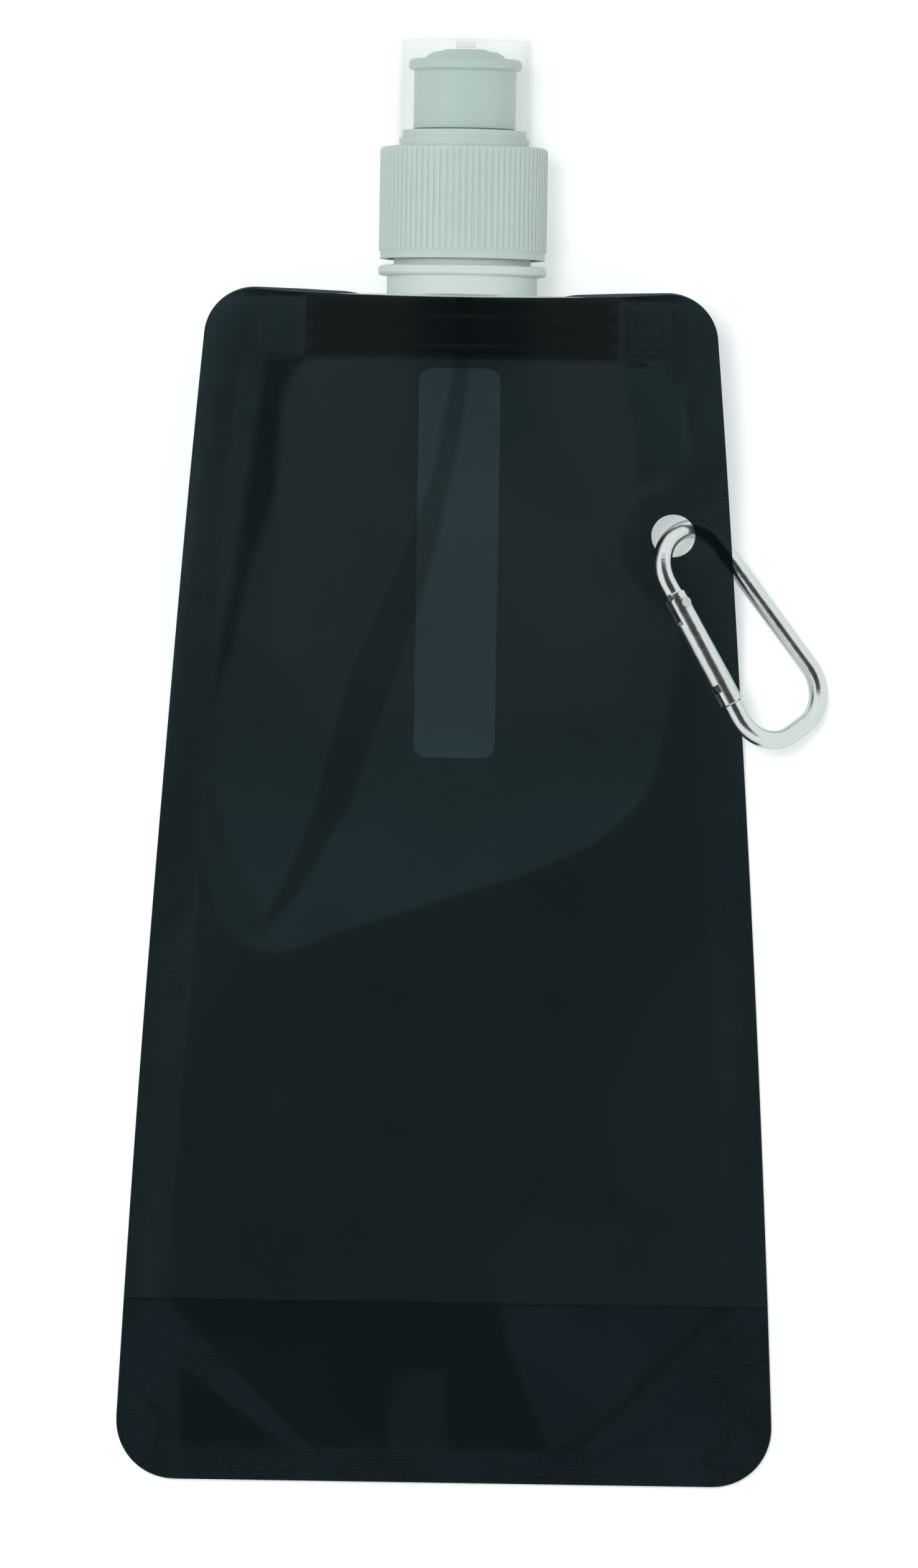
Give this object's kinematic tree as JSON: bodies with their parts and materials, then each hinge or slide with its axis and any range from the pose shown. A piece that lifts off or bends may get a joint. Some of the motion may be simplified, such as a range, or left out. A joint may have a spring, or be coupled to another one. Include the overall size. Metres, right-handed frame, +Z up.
{
  "type": "folding water bottle",
  "caption": "Flat foldable drinking pouch of translucent film with a bottom gusset, screw cap, push-pull nozzle, dust cap and a small carabiner.",
  "frame": {"origin": "on the surface that the bottle lies on, under the centre line of the flat lower half, 60 mm from the bottom edge", "axes": "+X across the pouch to the side with the carabiner, +Y along the pouch towards the spout, +Z up from the surface, out of the front sheet"},
  "size_m": [0.1281, 0.2644, 0.0307],
  "materials": {
    "film": "gloss",
    "gusset_film": "gloss",
    "white_plastic": "satin",
    "clear_plastic": "frosted",
    "washer_foam": "matte",
    "aluminium": "polished",
    "steel": "satin"
  },
  "bodies": {
    "pouch_upper": {"back_panel_upper": "film", "front_panel_upper": "film", "spout": "white_plastic"},
    "pouch_lower": {"back_panel_lower": "film", "front_panel_lower": "film", "bottom_gusset": "gusset_film"},
    "washer": {"sealing_washer": "washer_foam"},
    "cap": {"screw_cap": "white_plastic"},
    "push_pull_nozzle": {"nozzle": "white_plastic"},
    "dust_cover": {"dust_cap": "clear_plastic"},
    "carabiner": {"carabiner_frame": "aluminium"},
    "gate": {"carabiner_gate": "aluminium", "gate_rivet": "steel", "gate_spring": "steel"},
    "plunger": {"gate_plunger": "steel"}
  },
  "joints": [
    {"name": "pouch_fold", "type": "hinge", "parent": "pouch_upper", "child": "pouch_lower", "pos_m": [0, 0.04, 0.00453], "axis": [-1, 0, 0], "range_deg": [0, 160]},
    {"name": "cap_lift", "type": "slide", "parent": "pouch_upper", "child": "washer", "axis": [0, 1, 0], "range_m": [0, 0.00405]},
    {"name": "cap_turn", "type": "hinge", "parent": "washer", "child": "cap", "pos_m": [0, 0.17, 0.01535], "axis": [0, 1, 0], "range_deg": [0, 540.1]},
    {"name": "nozzle_pull", "type": "slide", "parent": "cap", "child": "push_pull_nozzle", "axis": [0, 1, 0], "range_m": [0, 0.005]},
    {"name": "dust_cap_lift", "type": "slide", "parent": "push_pull_nozzle", "child": "dust_cover", "axis": [0, 1, 0], "range_m": [0, 0.03]},
    {"name": "carabiner_swing", "type": "hinge", "parent": "pouch_upper", "child": "carabiner", "pos_m": [0.0393, 0.1139, 0.01099], "axis": [0, -0.2344, 0.9721], "range_deg": [-10, 90]},
    {"name": "gate_open", "type": "hinge", "parent": "carabiner", "child": "gate", "pos_m": [0.04067, 0.10134, 0.01366], "axis": [0.5074, 0.2195, 0.8333], "range_deg": [0, 22.02], "stiffness_Nm_per_rad": 0.01, "springref_deg": -34.38},
    {"name": "plunger_slide", "type": "slide", "parent": "gate", "child": "plunger", "axis": [0.4822, -0.8738, -0.0635], "range_m": [0, 0.0003], "deforming": ["gate_spring"]}
  ],
  "couplings": [
    {"joint": "cap_turn", "follows": "cap_lift", "rad_per_m": 2327.1},
    {"joint": "gate_open", "follows": "plunger_slide", "rad_per_m": 1279.9}
  ]
}
